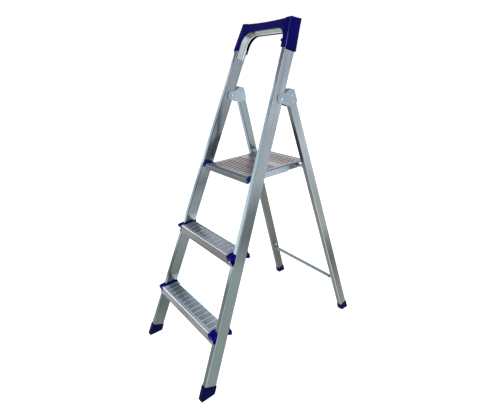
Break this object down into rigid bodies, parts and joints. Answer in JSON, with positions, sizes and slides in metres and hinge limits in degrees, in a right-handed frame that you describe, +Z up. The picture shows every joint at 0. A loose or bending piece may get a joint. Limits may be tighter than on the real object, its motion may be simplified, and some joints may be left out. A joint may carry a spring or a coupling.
{
  "type": "folding step stool",
  "caption": "Folding household step stool with a standing platform, a raised hoop handle with a moulded cap, and a hinged rear frame.",
  "frame": {"origin": "centre of the footprint on the floor, with the stool open and standing", "axes": "+Z up along the height, treads face -Y and are climbed towards +Y, +X is the right-hand rail seen by someone climbing"},
  "size_m": [0.432, 0.715, 1.1663],
  "materials": {
    "galvanised_steel": "satin zinc-coated sheet and tube",
    "fastener_steel": "bright zinc-plated rivets, pins and screws",
    "blue_plastic": "moulded navy blue plastic, low sheen",
    "black_plastic": "moulded black plastic",
    "black_rubber": "black rubber"
  },
  "bodies": {
    "front_frame": {"cap_liner_left": "black_plastic", "cap_liner_right": "black_plastic", "cap_screw_left": "fastener_steel", "cap_screw_right": "fastener_steel", "front_foot_left": "blue_plastic", "front_foot_right": "blue_plastic", "front_rail_left": "galvanised_steel", "front_rail_right": "galvanised_steel", "hinge_pin_left": "fastener_steel", "hinge_pin_right": "fastener_steel", "hoop": "galvanised_steel", "hoop_buffer": "black_rubber", "hoop_rivet_left": "fastener_steel", "hoop_rivet_right": "fastener_steel", "pivot_pin_left": "fastener_steel", "pivot_pin_right": "fastener_steel", "platform_block_left": "blue_plastic", "platform_block_right": "blue_plastic", "shoe_lower_left": "blue_plastic", "shoe_lower_right": "blue_plastic", "shoe_upper_left": "blue_plastic", "shoe_upper_right": "blue_plastic", "step_lower": "galvanised_steel", "step_rivet_1_left": "fastener_steel", "step_rivet_1_right": "fastener_steel", "step_rivet_2_left": "fastener_steel", "step_rivet_2_right": "fastener_steel", "step_rivet_3_left": "fastener_steel", "step_rivet_3_right": "fastener_steel", "step_rivet_4_left": "fastener_steel", "step_rivet_4_right": "fastener_steel", "step_upper": "galvanised_steel", "top_cap": "blue_plastic"},
    "rear_frame": {"brace_rivet_left": "fastener_steel", "brace_rivet_right": "fastener_steel", "bracket_rivet_1_left": "fastener_steel", "bracket_rivet_1_right": "fastener_steel", "bracket_rivet_2_left": "fastener_steel", "bracket_rivet_2_right": "fastener_steel", "leg_bush_left": "fastener_steel", "leg_bush_right": "fastener_steel", "leg_pin_left": "fastener_steel", "leg_pin_right": "fastener_steel", "pivot_bracket_left": "galvanised_steel", "pivot_bracket_right": "galvanised_steel", "rear_brace": "galvanised_steel", "rear_foot_left": "blue_plastic", "rear_foot_right": "blue_plastic", "rear_leg_left": "galvanised_steel", "rear_leg_right": "galvanised_steel"},
    "platform_panel": {"link_rivet_left": "fastener_steel", "link_rivet_right": "fastener_steel", "platform": "galvanised_steel"},
    "fold_link_left": {"link_left": "galvanised_steel"},
    "fold_link_right": {"link_right": "galvanised_steel"}
  },
  "joints": [
    {"name": "rear_frame_fold", "type": "hinge", "parent": "front_frame", "child": "rear_frame", "pos_m": [0, 0.08224, 0.90418], "axis": [-1, 0, 0], "range_deg": [0, 36]},
    {"name": "platform_fold", "type": "hinge", "parent": "front_frame", "child": "platform_panel", "pos_m": [0, -0.03182, 0.648], "axis": [1, 0, 0], "range_deg": [0, 66]},
    {"name": "fold_link_left_pivot", "type": "hinge", "parent": "platform_panel", "child": "fold_link_left", "pos_m": [-0.1213, 0.07472, 0.648], "axis": [-1, 0, 0], "range_deg": [0, 156]},
    {"name": "fold_link_right_pivot", "type": "hinge", "parent": "platform_panel", "child": "fold_link_right", "pos_m": [0.1213, 0.07472, 0.648], "axis": [-1, 0, 0], "range_deg": [0, 156]}
  ],
  "couplings": [
    {"joint": "platform_fold", "follows": "rear_frame_fold", "ratio": 1.8333},
    {"joint": "fold_link_left_pivot", "follows": "rear_frame_fold", "ratio": 4.3333},
    {"joint": "fold_link_right_pivot", "follows": "rear_frame_fold", "ratio": 4.3333}
  ]
}
